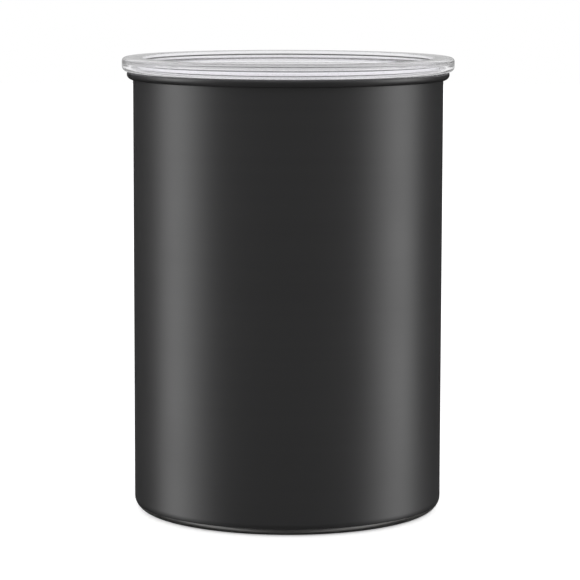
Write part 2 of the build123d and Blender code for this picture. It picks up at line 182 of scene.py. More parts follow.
class OuterLidSizes(bpy.types.PropertyGroup):
    """Sizes of the clear lid and its seal."""

    segments: count("Segments", "Faces round the lid", 288)
    radius: length("Radius", "Outside radius of the lid", lid_high.x)
    top: length("Top", "Height of the raised rim", lid_high.z)
    plug_bottom: length("Plug bottom", "Height of the plug's lower edge", lid_low.z)
    seat_gap: length("Seat gap", "Gap between the lid and the can's rim", 0.05 * MM)
    seat_thickness: length("Seat thickness", "From the seat to the top of the panel", 2.4 * MM)
    land_width: length("Land width", "Width of the raised rim", 8.0 * MM)
    land_thickness: length("Land thickness", "Thickness of the top of the raised rim", 1.9 * MM)
    skirt_wall: length("Skirt wall", "Thickness of the outer wall under the raised rim", 3.2 * MM)
    channel_radius: length("Channel radius", "Radius inside the hollow of the raised rim", 0.5 * MM)
    panel_thickness: length("Panel thickness", "Thickness of the recessed panel", 2.05 * MM)
    outer_edge_radius: length("Outer edge radius", "Radius of the rim's outer edge", 1.4 * MM)
    lower_edge_radius: length("Lower edge radius", "Radius of the lid's lower outer edge", 2.1 * MM)
    inner_edge_radius: length("Inner edge radius", "Radius of the rim's inner edge", 0.6 * MM)
    recess_corner_radius: length("Recess corner radius", "Radius at the foot of the recess", 1.0 * MM)
    plug_clearance: length("Plug clearance", "Gap between the plug and the can's wall", 0.5 * MM)
    plug_wall: length("Plug wall", "Thickness of the plug's ring", 2.4 * MM)
    plug_edge_radius: length("Plug edge radius", "Radius of the plug's lower edges", 0.5 * MM)
    plug_corner_radius: length("Plug corner radius", "Radius between plug and panel", 1.2 * MM)
    groove_depth: length("Groove depth", "Depth of the seal's groove", 1.3 * MM)
    groove_play: length("Groove play", "Gap above and below the seal", 0.1 * MM)
    seal_edge_radius: length("Seal edge radius", "Radius of the seal's outer edges", 0.45 * MM)
    seal_gap: length("Seal gap", "Gap between the seal and the bottom of its groove", 0.05 * MM)


class InnerLidSizes(bpy.types.PropertyGroup):
    """Sizes of the inner lid, its valve and its filter."""

    segments: count("Segments", "Faces round the seal and the valve", 192)
    edge_width: length("Edge width", "Width of the small bevels on moulded pieces", 0.15 * MM)
    wiper_web_radius: length("Wiper web radius", "Radius of the wiper between its lips", 58.2 * MM)
    wiper_root_radius: length("Wiper root radius", "Radius of the plate behind the wiper's lips", 57.9 * MM)
    wiper_lip_height: length("Wiper lip height", "Height of each lip", 2.2 * MM)
    wiper_lip_edge: length("Wiper lip edge", "Height of each lip's wiping edge", 0.8 * MM)
    wiper_lip_taper: length("Wiper lip taper", "How far each lip's back slopes", 0.4 * MM)
    stem_neck_radius: length("Stem neck radius", "Radius of the stem between shoulder and flange", 5.0 * MM)
    stem_shoulder_radius: length("Stem shoulder radius", "Radius of the shoulder over the disc", 7.0 * MM)
    stem_shoulder_height: length("Stem shoulder height", "Height of that shoulder", 1.2 * MM)
    stem_button_radius: length("Stem button radius", "Radius of the button under the disc", 3.6 * MM)
    stem_button_neck: length("Stem button neck", "Radius of the stem through the disc", 2.5 * MM)
    stem_flange_thickness: length("Stem flange thickness", "Thickness of the flange", 1.5 * MM)
    stem_pin_radius: length("Stem pin radius", "Radius of the guide pin", 3.0 * MM)
    stem_edge_radius: length("Stem edge radius", "Radius of the stem's edges", 0.4 * MM)
    disc_edge_radius: length("Disc edge radius", "Radius of the disc's edges", 0.4 * MM)
    spring_wire: length("Spring wire", "Thickness of the spring's wire", 0.8 * MM)
    spring_turns: amount("Spring turns", "Number of turns of the spring", 3.75)
    spring_shortest: factor("Spring shortest", "Its height with the valve open, as a share", 0.697)
    screw_count: count("Screw count", "Screws that hold the cap", 4)
    screw_circle: length("Screw circle", "Radius of the circle of screws", 16.1 * MM)
    screw_seed: count("Screw seed", "Seed of the screws' random turns", 7)
    screen_hole_radius: length("Screen hole radius", "Radius of the screen's holes", 0.55 * MM)
    screen_hole_pitch: length("Screen hole pitch", "Distance between the screen's holes", 1.75 * MM)
    screen_hole_reach: length("Screen hole reach", "Radius within which holes are punched", 4.45 * MM)


class HandleSizes(bpy.types.PropertyGroup):
    """Sizes of the wire handle."""

    sides: count("Sides", "Faces round the wire", 40)
    wire_diameter: length("Wire diameter", "Thickness of the handle's wire", 3.5 * MM)
    bend_radius: length("Bend radius", "Radius of the bends at the pivots", 4.0 * MM)
    corner_radius: length("Corner radius", "Radius of the handle's outer corners", 15.0 * MM)
    wire_end: length("Wire end", "Distance of the wire's ends from the middle", 7.5 * MM)


class CanisterFinishes(bpy.types.PropertyGroup):
    """Colours and shine of the materials."""

    coat: colour("Coat", "Satin black coating of the can", (0.0188, 0.0185, 0.019))
    coat_roughness: factor("Coat roughness", "Roughness of the coating", 0.4)
    worn_coat: colour("Worn coat", "Coating rubbed thin on the edges", (0.03, 0.0298, 0.03))
    wear_share: factor("Wear share", "How strongly the coating is worn on the edges", 0.3)
    # Painted highlight: the pale colour that the coating is mixed with where a face looks up, standing in for
    # light from above.
    painted_top_highlight: colour("Haze", "Pale haze on the coating where it faces up", (0.33, 0.32, 0.35))
    painted_top_highlight_share: factor("Haze share", "How much of a level face the haze covers", 0.16)
    bare_steel: colour("Bare steel", "Uncoated steel inside the can", (0.66, 0.65, 0.64))
    lid_tint: colour("Lid tint", "Colour of the clear plastic", (0.966, 0.961, 0.98))
    lid_refraction: amount("Lid refraction", "Refractive index of the clear plastic", 1.57)
    silicone: colour("Silicone", "Translucent silicone of the lid's seal", (0.8, 0.81, 0.83))
    silicone_refraction: amount("Silicone refraction", "Refractive index of the seal", 1.41)
    black_plastic: colour("Black plastic", "Moulded inner lid", (0.022, 0.022, 0.024))
    black_silicone: colour("Black silicone", "Wiper seal and valve disc", (0.015, 0.015, 0.016))
    acetal: colour("Acetal", "Stem, cams and bushes", (0.78, 0.77, 0.73))
    wire_steel: colour("Wire steel", "Polished handle wire", (0.62, 0.62, 0.63))
    spring_steel: colour("Spring steel", "Spring and clips", (0.5, 0.5, 0.51))
    screen_steel: colour("Screen steel", "Perforated screen", (0.58, 0.58, 0.59))
    screw_steel: colour("Screw steel", "Screws", (0.55, 0.55, 0.56))


class StageSettings(bpy.types.PropertyGroup):
    """The camera, the room round the canister and the floor."""

    lens: amount("Lens", "Focal length in millimetres on a 36 mm sensor", 172.37)
    camera_side: length("Camera side", "Distance of the camera to the right of the axis", 0.89 * MM)
    camera_distance: length("Camera distance", "Distance of the camera in front of the axis", 1082 * MM)
    camera_height: length("Camera height", "Height of the camera", 227 * MM)
    camera_pitch: angle("Camera pitch", "How far the camera looks down", 7.435)
    camera_roll: angle("Camera roll", "How far the camera is turned about its view", 0.131)
    sky_level: amount("Sky level", "Brightness of the surroundings on matt surfaces", 1.0)
    front_level: amount("Front level", "Brightness of the front of the room, as metal sees it", 0.2)
    box_level: amount("Box level", "Brightness of the soft boxes at the sides, as metal sees them", 4.15)
    back_level: amount("Back level", "Brightness of the back of the room, as metal sees it", 0.036)
    box_start: angle("Box start", "Direction from the front where the soft boxes begin", 52.6)
    box_middle: angle("Box middle", "Direction of their brightest part", 92.8)
    box_end: angle("Box end", "Direction where they end", 114.0)
    ceiling_level: amount("Ceiling level", "Brightness overhead, as metal sees it", 2.4)
    low_level: amount("Low level", "Brightness under the soft boxes, as a share", 0.1)
    wall_level: amount("Wall level", "Brightness of the walls, as clear plastic passes them on", 1.0)
    strip_level: amount("Strip level", "Brightness of the band of light high on the walls", 1.5)
    screen_level: amount("Screen level", "Brightness of the dark screen behind", 0.6)
    ground_level: amount("Ground level", "Brightness under the horizon behind", 0.1)
    shine_level: amount("Shine level", "Brightness of the walls, as clear plastic reflects them", 0.8)
    horizon_level: amount("Horizon level", "Brightness of the horizon, as clear plastic reflects it", 0.55)
    floor_radius: length("Floor radius", "Radius of the floor", 3.0)
    floor_gap: length("Floor gap", "Gap between the floor and the can's foot", 0.1 * MM)
    floor_colour: colour("Floor colour", "Colour of the floor", (0.9, 0.9, 0.9))
    floor_lift: amount("Floor lift", "Light added where the camera sees the floor", 0.45)


class CanisterSettings(bpy.types.PropertyGroup):
    """All the canister's settings."""

    shell: bpy.props.PointerProperty(type=CanisterShellSizes)
    lid: bpy.props.PointerProperty(type=OuterLidSizes)
    inner: bpy.props.PointerProperty(type=InnerLidSizes)
    handle: bpy.props.PointerProperty(type=HandleSizes)
    finishes: bpy.props.PointerProperty(type=CanisterFinishes)
    stage: bpy.props.PointerProperty(type=StageSettings)


def fill(tree, made, inputs):
    """Sets inputs of a node, by name or number. Each is a value, or is linked if it is given a socket."""
    for key, value in inputs.items():
        if isinstance(value, bpy.types.NodeSocket):
            tree.links.new(value, made.inputs[key])
        else:
            made.inputs[key].default_value = value


def node(tree, kind, inputs=None, **settings):
    """Adds a node with its settings and inputs."""
    made = tree.nodes.new(kind)
    for name, value in settings.items():
        setattr(made, name, value)
    fill(tree, made, inputs or {})
    return made


def maths(tree, operation, *values):
    """The output of a maths node."""
    return node(tree, "ShaderNodeMath", dict(enumerate(values)), operation=operation).outputs[0]


def whole_maths(tree, operation, *values):
    """The output of a whole number maths node."""
    return node(tree, "FunctionNodeIntegerMath", dict(enumerate(values)), operation=operation).outputs[0]


def vector_maths(tree, operation, inputs):
    """The vector that a vector maths node puts out."""
    return node(tree, "ShaderNodeVectorMath", inputs, operation=operation).outputs["Vector"]


def parted(tree, vector):
    """The X, Y and Z of a vector, by name."""
    return node(tree, "ShaderNodeSeparateXYZ", {0: vector}).outputs


def joined(tree, across=0.0, along=0.0, up=0.0):
    """A vector from its X, Y and Z."""
    return node(tree, "ShaderNodeCombineXYZ", {0: across, 1: along, 2: up}).outputs[0]


def about_z(tree, radius, turn, up=0.0):
    """The place at a distance from the Z axis, a turn about it and a height."""
    across = maths(tree, "MULTIPLY", radius, maths(tree, "COSINE", turn))
    along = maths(tree, "MULTIPLY", radius, maths(tree, "SINE", turn))
    return joined(tree, across, along, up)


def distance_from_z(tree, place):
    """The distance of a place, given by its X and Y, from the Z axis."""
    across = maths(tree, "POWER", place["X"], 2.0)
    along = maths(tree, "POWER", place["Y"], 2.0)
    return maths(tree, "SQRT", maths(tree, "ADD", across, along))


def geometry_tree(name, *inputs):
    """A geometry node tree with a geometry, the named inputs and a material, and the node that gives them."""
    tree = bpy.data.node_groups.new(name, "GeometryNodeTree")
    tree.is_modifier = True
    tree.interface.new_socket("Geometry", in_out="INPUT", socket_type="NodeSocketGeometry")
    for label, kind in inputs:
        tree.interface.new_socket(label, in_out="INPUT", socket_type=f"NodeSocket{kind}")
    tree.interface.new_socket("Material", in_out="INPUT", socket_type="NodeSocketMaterial")
    tree.interface.new_socket("Geometry", in_out="OUTPUT", socket_type="NodeSocketGeometry")
    return tree, node(tree, "NodeGroupInput").outputs


def close_tree(tree, geometry, given):
    """Ends a tree with smooth shading, Realize Instances and Set Material."""
    smooth = node(tree, "GeometryNodeSetShadeSmooth", {"Geometry": geometry})
    real = node(tree, "GeometryNodeRealizeInstances", {"Geometry": smooth.outputs[0]})
    last = node(tree, "GeometryNodeSetMaterial", {"Geometry": real.outputs[0], "Material": given["Material"]})
    node(tree, "NodeGroupOutput", {"Geometry": last.outputs[0]})


def at_places(tree, geometry, places):
    """A geometry with its points moved to the places."""
    return node(tree, "GeometryNodeSetPosition", {"Geometry": geometry, "Position": places}).outputs[0]


def copies_on(tree, points, piece, turns=(0.0, 0.0, 0.0)):
    """Copies of a piece on points, each with its turn."""
    inputs = {"Points": points, "Instance": piece, "Rotation": turns}
    return node(tree, "GeometryNodeInstanceOnPoints", inputs).outputs[0]


def merged(tree, geometry, given):
    """A mesh with the points that lie on each other merged."""
    inputs = {"Geometry": geometry, "Distance": given["Merge Distance"]}
    return node(tree, "GeometryNodeMergeByDistance", inputs).outputs[0]


def circle(tree, radius, sides):
    """A circle about Z."""
    return node(tree, "GeometryNodeCurvePrimitiveCircle", {"Radius": radius, "Resolution": sides}).outputs[0]


def tube(tree, path, given):
    """A round wire with closed ends along a path."""
    ring = circle(tree, given["Wire Radius"], given["Sides"])
    inputs = {"Curve": path, "Profile Curve": ring, "Fill Caps": True}
    return node(tree, "GeometryNodeCurveToMesh", inputs).outputs[0]


def both(tree, first, second):
    """Two geometries as one."""
    join = node(tree, "GeometryNodeJoinGeometry")
    tree.links.new(first, join.inputs[0])
    tree.links.new(second, join.inputs[0])
    return join.outputs[0]


def turned_tree(name):
    """Turns an outline, a chain of points in the XZ plane, into a solid of revolution about Z."""
    tree, given = geometry_tree(name, ("Segments", "Int"), ("Merge Distance", "Float"))
    size = node(tree, "GeometryNodeAttributeDomainSize", {"Geometry": given["Geometry"]}).outputs
    columns = whole_maths(tree, "ADD", given["Segments"], 1)
    grid = node(tree, "GeometryNodeMeshGrid", {"Vertices X": size["Point Count"], "Vertices Y": columns})
    index = node(tree, "GeometryNodeInputIndex").outputs[0]
    row = whole_maths(tree, "DIVIDE_FLOOR", index, columns)
    column = whole_maths(tree, "MODULO", index, columns)
    place = node(tree, "GeometryNodeInputPosition").outputs[0]
    inputs = {"Geometry": given["Geometry"], "Value": place, "Index": row}
    outline = parted(tree, node(tree, "GeometryNodeSampleIndex", inputs, data_type="FLOAT_VECTOR").outputs[0])
    turn = maths(tree, "MULTIPLY", maths(tree, "DIVIDE", column, given["Segments"]), math.tau)
    moved = at_places(tree, grid.outputs["Mesh"], about_z(tree, outline["X"], turn, outline["Z"]))
    close_tree(tree, merged(tree, moved, given), given)
    return tree


def swept_tree(name):
    """Sweeps a round wire along a chain of points, and keeps the distance along it for the finish."""
    tree, given = geometry_tree(name, ("Wire Radius", "Float"), ("Sides", "Int"))
    path = node(tree, "GeometryNodeMeshToCurve", {"Mesh": given["Geometry"]})
    along = node(tree, "GeometryNodeSplineParameter").outputs["Length"]
    inputs = {"Geometry": path.outputs[0], "Name": "along_wire", "Value": along}
    marked = node(tree, "GeometryNodeStoreNamedAttribute", inputs, data_type="FLOAT", domain="POINT")
    close_tree(tree, tube(tree, marked.outputs[0], given), given)
    return tree


def coil_tree(name):
    """Winds a helix about Z from the base height up, and sweeps the wire along it."""
    sizes = ("Turns", "Coil Radius", "Base Height", "Rise", "Wire Radius")
    counts = ("Steps", "Sides")
    inputs = [(label, "Float") for label in sizes] + [(label, "Int") for label in counts]
    tree, given = geometry_tree(name, *inputs)
    line = node(tree, "GeometryNodeMeshLine", {"Count": given["Steps"]}, mode="OFFSET")
    path = node(tree, "GeometryNodeMeshToCurve", {"Mesh": line.outputs[0]})
    index = node(tree, "GeometryNodeInputIndex").outputs[0]
    share = maths(tree, "DIVIDE", index, maths(tree, "SUBTRACT", given["Steps"], 1.0))
    turn = maths(tree, "MULTIPLY", maths(tree, "MULTIPLY", share, given["Turns"]), math.tau)
    up = maths(tree, "ADD", given["Base Height"], maths(tree, "MULTIPLY", share, given["Rise"]))
    wound = at_places(tree, path.outputs[0], about_z(tree, given["Coil Radius"], turn, up))
    close_tree(tree, tube(tree, wound, given), given)
    return tree


def round_tree(name):
    """Sets copies of a piece on a circle about Z, each with a random turn about its own axis."""
    sizes = (("Count", "Int"), ("Circle Radius", "Float"), ("Start Angle", "Float"), ("Seed", "Int"))
    tree, given = geometry_tree(name, *sizes)
    index = node(tree, "GeometryNodeInputIndex").outputs[0]
    step = maths(tree, "DIVIDE", maths(tree, "MULTIPLY", index, math.tau), given["Count"])
    turn = maths(tree, "ADD", step, given["Start Angle"])
    spot = about_z(tree, given["Circle Radius"], turn)
    points = node(tree, "GeometryNodePoints", {"Count": given["Count"], "Position": spot})
    inputs = {"Max": math.tau, "Seed": given["Seed"]}
    own = node(tree, "FunctionNodeRandomValue", inputs, data_type="FLOAT")
    own_turn = next(socket for socket in own.outputs if socket.enabled)
    copies = copies_on(tree, points.outputs[0], given["Geometry"], joined(tree, up=own_turn))
    close_tree(tree, copies, given)
    return tree


def punched_tree(name):
    """A thin disc about Z with round holes on a triangular grid."""
    sizes = ("Disc Radius", "Hole Radius", "Pitch", "Reach", "Thickness", "Base Height", "Merge Distance")
    tree, given = geometry_tree(name, *((label, "Float") for label in sizes), ("Rows", "Int"))
    index = node(tree, "GeometryNodeInputIndex").outputs[0]
    middle = maths(tree, "DIVIDE", maths(tree, "SUBTRACT", given["Rows"], 1.0), 2.0)
    row = maths(tree, "SUBTRACT", whole_maths(tree, "DIVIDE_FLOOR", index, given["Rows"]), middle)
    column = maths(tree, "SUBTRACT", whole_maths(tree, "MODULO", index, given["Rows"]), middle)
    shifted = maths(tree, "ADD", column, maths(tree, "MULTIPLY", row, 0.5))
    across = maths(tree, "MULTIPLY", shifted, given["Pitch"])
    along = maths(tree, "MULTIPLY", maths(tree, "MULTIPLY", row, math.sqrt(0.75)), given["Pitch"])
    spot = joined(tree, across, along, given["Base Height"])
    total = whole_maths(tree, "MULTIPLY", given["Rows"], given["Rows"])
    points = node(tree, "GeometryNodePoints", {"Count": total, "Position": spot}).outputs[0]
    place = parted(tree, node(tree, "GeometryNodeInputPosition").outputs[0])
    outside = maths(tree, "GREATER_THAN", distance_from_z(tree, place), given["Reach"])
    kept = node(tree, "GeometryNodeDeleteGeometry", {"Geometry": points, "Selection": outside}).outputs[0]
    holes = copies_on(tree, kept, circle(tree, given["Hole Radius"], HOLE_SIDES))
    real = node(tree, "GeometryNodeRealizeInstances", {"Geometry": holes}).outputs[0]
    inputs = {
        "Geometry": circle(tree, given["Disc Radius"], DISC_SIDES),
        "Translation": joined(tree, up=given["Base Height"]),
    }
    raised = node(tree, "GeometryNodeTransform", inputs).outputs[0]
    rings = both(tree, real, raised)
    sheet = node(tree, "GeometryNodeFillCurve", {"Curve": rings}, mode="TRIANGLES").outputs[0]
    inputs = {
        "Mesh": sheet,
        "Offset": joined(tree, up=given["Thickness"]),
        "Offset Scale": 1.0,
        "Individual": False,
    }
    thick = node(tree, "GeometryNodeExtrudeMesh", inputs, mode="FACES").outputs["Mesh"]
    under = node(tree, "GeometryNodeFlipFaces", {"Mesh": sheet}).outputs[0]
    close_tree(tree, merged(tree, both(tree, thick, under), given), given)
    return tree


TREES = {
    "Turned Shape": turned_tree,
    "Bent Wire": swept_tree,
    "Coil Spring": coil_tree,
    "Set Round the Hub": round_tree,
    "Punched Disc": punched_tree,
}


def rounded_chain(corners, steps_per_quarter=ARC_STEPS, looped=False):
    """Points of a chain through (across, up, radius) corners, with an arc at each corner that has a radius.

    Each arc gets a point just beyond its two ends, so that smooth shading stays flat on the flats.
    """
    total = len(corners)
    arcs = []
    for place, (across, up, radius) in enumerate(corners):
        here = Vector((across, up))
        ends_chain = not looped and place in (0, total - 1)
        before = Vector(corners[place - 1][:2]) - here
        after = Vector(corners[(place + 1) % total][:2]) - here
        if ends_chain or radius <= 0:
            arcs.append([here])
            continue
        half = before.angle(after) / 2
        reach = radius / math.tan(half)
        middle = here + (before.normalized() + after.normalized()).normalized() * (radius / math.sin(half))
        start = here + before.normalized() * reach - middle
        sweep = (math.pi - 2 * half) * (1 if start.angle_signed(here - middle) < 0 else -1)
        steps = max(2, math.ceil(abs(sweep) / (math.pi / 2) * steps_per_quarter))
        turned = [start.copy() for _ in range(steps + 1)]
        for step, point in enumerate(turned):
            point.rotate(Matrix.Rotation(sweep * step / steps, 2))
        arcs.append([middle + point for point in turned])
    points = []
    for place, arc in enumerate(arcs):
        points.extend(arc)
        if place == total - 1 and not looped:
            break
        following = arcs[(place + 1) % total][0]
        gap = following - arc[-1]
        if gap.length > SUPPORT_ROOM:
            points.append(arc[-1] + gap.normalized() * SUPPORT)
            points.append(following - gap.normalized() * SUPPORT)
    if looped:
        points.append(points[0].copy())
    return points


def chain_mesh(name, places):
    """A mesh of points joined in a chain."""
    mesh = bpy.data.meshes.new(name)
    mesh.from_pydata(places, [(step, step + 1) for step in range(len(places) - 1)], [])
    return mesh


def placed(name, data):
    """A new object in the scene."""
    made = bpy.data.objects.new(name, data)
    bpy.context.scene.collection.objects.link(made)
    return made


def face_outwards(mesh):
    """Turns a closed mesh's faces outwards, and keeps its edges over SHARP_ANGLE sharp."""
    work = bmesh.new()
    work.from_mesh(mesh)
    bmesh.ops.recalc_face_normals(work, faces=work.faces)
    open_edges = [edge for edge in work.edges if len(edge.link_faces) != 2]
    if open_edges or work.calc_volume() <= 0:
        raise RuntimeError(f"{mesh.name} isn't closed: {len(open_edges)} open edges")
    work.to_mesh(mesh)
    work.free()
    mesh.shade_smooth()
    mesh.set_sharp_from_angle(angle=SHARP_ANGLE)


def keep_result(piece, modifier):
    """Gives a piece the plain mesh that its modifier makes, and removes the modifier."""
    evaluated = piece.evaluated_get(bpy.context.evaluated_depsgraph_get())
    made = bpy.data.meshes.new_from_object(evaluated)
    piece.modifiers.remove(modifier)
    piece.data = made
    made.name = piece.name
    face_outwards(made)
    return piece


def grown(name, mesh, tree_name, values):
    """An object with the plain mesh that a geometry node tree grows from a mesh, with its named inputs set."""
    tree = bpy.data.node_groups.get(tree_name) or TREES[tree_name](tree_name)
    piece = placed(name, mesh)
    modifier = piece.modifiers.new(tree_name, "NODES")
    modifier.node_group = tree
    sockets = {item.name: item.identifier for item in tree.interface.items_tree if item.in_out == "INPUT"}
    for label, value in values.items():
        modifier[sockets[label]] = value
    return keep_result(piece, modifier)


def turned_piece(name, corners, segments, material, looped=True, steps_per_quarter=ARC_STEPS):
    """A turned piece from the corners of its outline, as (radius, height, corner radius)."""
    rounded = [(across, up, max(radius, SMALLEST_RADIUS)) for across, up, radius in corners]
    points = rounded_chain(rounded, steps_per_quarter, looped)
    outline = chain_mesh(name + "_outline", [(point.x, 0.0, point.y) for point in points])
    values = {"Segments": segments, "Merge Distance": MERGE_DISTANCE, "Material": material}
    return grown(name, outline, "Turned Shape", values)


def frame_copy(name, source, material, edge_width):
    """A merged copy of a frame node's mesh with its edges lightly bevelled."""
    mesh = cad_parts[source].data.copy()
    mesh.name = name
    work = bmesh.new()
    work.from_mesh(mesh)
    bmesh.ops.remove_doubles(work, verts=work.verts, dist=WELD_DISTANCE)
    bmesh.ops.dissolve_limit(
        work, angle_limit=FLAT_ANGLE, verts=work.verts, edges=work.edges, delimit={"NORMAL"}
    )
    work.to_mesh(mesh)
    work.free()
    mesh.materials.clear()
    mesh.materials.append(material)
    piece = placed(name, mesh)
    bevel = piece.modifiers.new("Edge Bevel", "BEVEL")
    bevel.width = edge_width
    bevel.segments = 2
    bevel.limit_method = "ANGLE"
    bevel.angle_limit = BEVEL_ANGLE
    return keep_result(piece, bevel)


def frame_inner_radius(name):
    """The least distance of a frame node's points from the Z axis."""
    return min(vertex.co.xy.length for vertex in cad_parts[name].data.vertices)


def settle(piece, body, slot, *nodes):
    """Makes a finished piece ride on its body in place of its frame nodes, which it hides. The slot is not
    used.
    """
    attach(piece, body)
    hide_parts(*nodes)


def settle_copy(name, source, body, material, edge_width):
    """Adds a bevelled copy of a frame node in its place, riding on the given body."""
    settle(frame_copy(name, source, material, edge_width), body, material.name, source)


def shader_group(name, inputs, outputs):
    """A shader node group with named inputs and outputs, and its input and output nodes."""
    group = bpy.data.node_groups.new(name, "ShaderNodeTree")
    group.interface.new_socket("Vector", in_out="INPUT", socket_type="NodeSocketVector")
    for label in inputs:
        group.interface.new_socket(label, in_out="INPUT", socket_type="NodeSocketFloat")
    for label in outputs:
        group.interface.new_socket(label, in_out="OUTPUT", socket_type="NodeSocketFloat")
    return group, group.nodes.new("NodeGroupInput").outputs, group.nodes.new("NodeGroupOutput")


def noise(tree, place, scale, detail):
    """A noise between 0 and 1."""
    return node(tree, "ShaderNodeTexNoise", {"Vector": place, "Scale": scale, "Detail": detail}).outputs["Fac"]


def ranged(tree, value, low, high, span=NOISE_SPAN):
    """A value mapped from a span to a new low and high."""
    inputs = {"Value": value, "From Min": span[0], "From Max": span[1], "To Min": low, "To Max": high}
    return node(tree, "ShaderNodeMapRange", inputs).outputs[0]


def upward(tree):
    """How far a face looks up, from 0 to 1."""
    facing = node(tree, "ShaderNodeNewGeometry").outputs["Normal"]
    return maths(tree, "MAXIMUM", parted(tree, facing)["Z"], 0.0)


def edge_wear_group(name):
    """A mask that is 1 on edges, broken up by a noise: wear on the edges of any piece."""
    group, given, out = shader_group(name, ("Edge Radius", "Patch Scale"), ("Mask",))
    soft = node(group, "ShaderNodeBevel", {"Radius": given["Edge Radius"]}, samples=4).outputs[0]
    hard = node(group, "ShaderNodeNewGeometry").outputs["Normal"]
    match = node(group, "ShaderNodeVectorMath", {0: soft, 1: hard}, operation="DOT_PRODUCT").outputs["Value"]
    edge = maths(group, "MULTIPLY", maths(group, "SUBTRACT", 1.0, match), EDGE_CONTRAST)
    patches = noise(group, given["Vector"], given["Patch Scale"], detail=4.0)
    broken = ranged(group, patches, 0.0, 1.0, WEAR_SPAN)
    clipped = node(group, "ShaderNodeClamp", {"Value": maths(group, "MULTIPLY", edge, broken)})
    fill(group, out, {"Mask": clipped.outputs[0]})
    return group


def brushed_group(name):
    """Fine lines round the Z axis, from a noise that is stretched round the piece."""
    group, given, out = shader_group(name, ("Line Scale", "Stretch"), ("Lines", "Bands"))
    round_scale = maths(group, "DIVIDE", given["Line Scale"], given["Stretch"])
    size = joined(group, round_scale, round_scale, given["Line Scale"])
    lines = vector_maths(group, "MULTIPLY", {0: given["Vector"], 1: size})
    fine = noise(group, lines, scale=1.0, detail=3.0)
    broad = noise(group, lines, BAND_SCALE, detail=2.0)
    fill(group, out, {"Lines": fine, "Bands": broad})
    return group


def moulded_group(name):
    """The fine spark texture of a mould, with soft patches of shine."""
    group, given, out = shader_group(name, ("Grain Scale", "Patch Scale"), ("Height", "Patches"))
    inputs = {"Vector": given["Vector"], "Scale": given["Grain Scale"]}
    grain = node(group, "ShaderNodeTexVoronoi", inputs, feature="SMOOTH_F1").outputs["Distance"]
    patches = noise(group, given["Vector"], given["Patch Scale"], detail=3.0)
    fill(group, out, {"Height": grain, "Patches": patches})
    return group


def dust_group(name):
    """Faint dust that gathers on faces that look up, as a mask."""
    group, given, out = shader_group(name, ("Speck Scale", "Amount"), ("Mask",))
    specks = noise(group, given["Vector"], given["Speck Scale"], detail=5.0)
    mask = maths(group, "MULTIPLY", upward(group), ranged(group, specks, 0.0, 1.0, DUST_SPAN))
    fill(group, out, {"Mask": maths(group, "MULTIPLY", mask, given["Amount"])})
    return group


GROUPS = {
    "Edge Wear": edge_wear_group,
    "Brushed Lines": brushed_group,
    "Moulded Texture": moulded_group,
    "Settled Dust": dust_group,
}


def effect(tree, name, inputs):
    """Places a shared effect in a material and returns its outputs."""
    group = bpy.data.node_groups.get(name) or GROUPS[name](name)
    return node(tree, "ShaderNodeGroup", inputs, node_tree=group).outputs


def blank_material(name):
    """A new material with a Principled surface: its tree, the surface node and object coordinates."""
    material = bpy.data.materials.new(name)
    material.use_nodes = True
    tree = material.node_tree
    place = node(tree, "ShaderNodeTexCoord").outputs["Object"]
    return material, tree, tree.nodes["Principled BSDF"], place


def mixed(tree, mask, first, second):
    """A colour between two, by a mask. Each is a socket or a plain colour."""
    ends = [end if isinstance(end, bpy.types.NodeSocket) else (*end, 1.0) for end in (first, second)]
    return node(tree, "ShaderNodeMix", {"Factor": mask, 6: ends[0], 7: ends[1]}, data_type="RGBA").outputs[2]


def blended(tree, mask, first, second):
    """A value between two, by a mask."""
    return node(tree, "ShaderNodeMix", {"Factor": mask, 2: first, 3: second}).outputs[0]


def times(tone, share):
    """A plain colour made darker or lighter."""
    return [min(1.0, share * part) for part in tone]


def bumped(tree, height, distance, strength):
    """The normal of a surface with a relief of a real depth."""
    inputs = {"Height": height, "Distance": distance, "Strength": strength}
    return node(tree, "ShaderNodeBump", inputs).outputs[0]


def coated_steel(finishes, sizes):
    """Satin black coating over faintly brushed steel, worn on its edges, with a painted highlight: a pale
    colour mixed in where a face looks up.

    The steel is bare inside the can and under the raised middle of its base.
    """
    material, tree, surface, place = blank_material("satin_black_coated_steel")
    lines = effect(tree, "Brushed Lines", {"Vector": place, "Line Scale": 5200.0, "Stretch": 90.0})
    wear = effect(tree, "Edge Wear", {"Vector": place, "Edge Radius": 0.6 * MM, "Patch Scale": 500.0})
    shade = ranged(tree, lines["Bands"], 0.96, 1.04)
    coat = vector_maths(tree, "SCALE", {0: tuple(finishes.coat), "Scale": shade})
    coat = mixed(tree, maths(tree, "MULTIPLY", wear["Mask"], finishes.wear_share), coat, finishes.worn_coat)
    # Painted highlight: the coating is paled on faces that look up, as light from above would make them look.
    coat = mixed(tree, maths(tree, "MULTIPLY", upward(tree), finishes.painted_top_highlight_share), coat, finishes.painted_top_highlight)
    spot = parted(tree, place)
    inner_radius = sizes.rim_radius - sizes.rim_reach - sizes.wall / 2
    inside = maths(tree, "LESS_THAN", distance_from_z(tree, spot), inner_radius)
    above = maths(tree, "GREATER_THAN", spot["Z"], sizes.wall / 2)
    bare = maths(tree, "MULTIPLY", inside, above)
    steel = mixed(tree, lines["Lines"], times(finishes.bare_steel, 0.9), finishes.bare_steel)
    smudge = noise(tree, place, scale=26.0, detail=4.0)
    dull = finishes.coat_roughness
    coat_roughness = ranged(tree, smudge, dull - 0.02, dull + 0.02)
    steel_roughness = ranged(tree, lines["Lines"], 0.26, 0.4, WHOLE_SPAN)
    look = {
        "Base Color": mixed(tree, bare, coat, steel),
        "Roughness": blended(tree, bare, coat_roughness, steel_roughness),
        "Metallic": bare,
        "Normal": bumped(tree, lines["Lines"], distance=0.004 * MM, strength=0.5),
    }
    fill(tree, surface, look)
    return material


